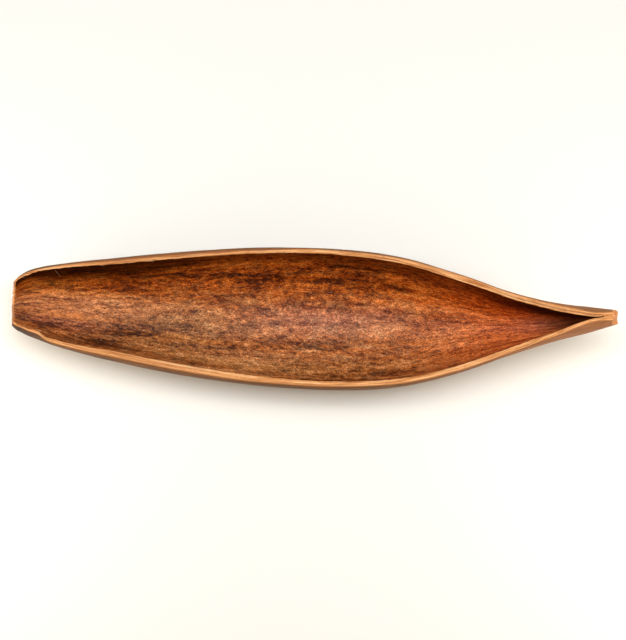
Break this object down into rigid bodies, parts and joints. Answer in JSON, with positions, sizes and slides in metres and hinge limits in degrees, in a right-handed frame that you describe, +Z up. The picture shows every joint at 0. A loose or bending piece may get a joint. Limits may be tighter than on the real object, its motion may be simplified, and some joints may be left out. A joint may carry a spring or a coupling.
{
  "type": "dried coconut spathe",
  "caption": "Boat-shaped woody bract, open on top and at its square-cut base, closing to a solid upturned beak, ribbed outside and lying on its belly.",
  "frame": {"origin": "middle of the object's box in X and Y, at the level of the surface that it lies on", "axes": "+X from the cut base to the beak, +Y across to the wall that is further in the picture, +Z up out of the hollow"},
  "size_m": [0.6, 0.141, 0.0849],
  "materials": {
    "dried_spathe": "dry fibrous woody skin: dark brown and ribbed outside, red-brown and satin inside, pale tan on the cut rim"
  },
  "bodies": {
    "root": {"spathe": "dried_spathe"}
  },
  "joints": []
}
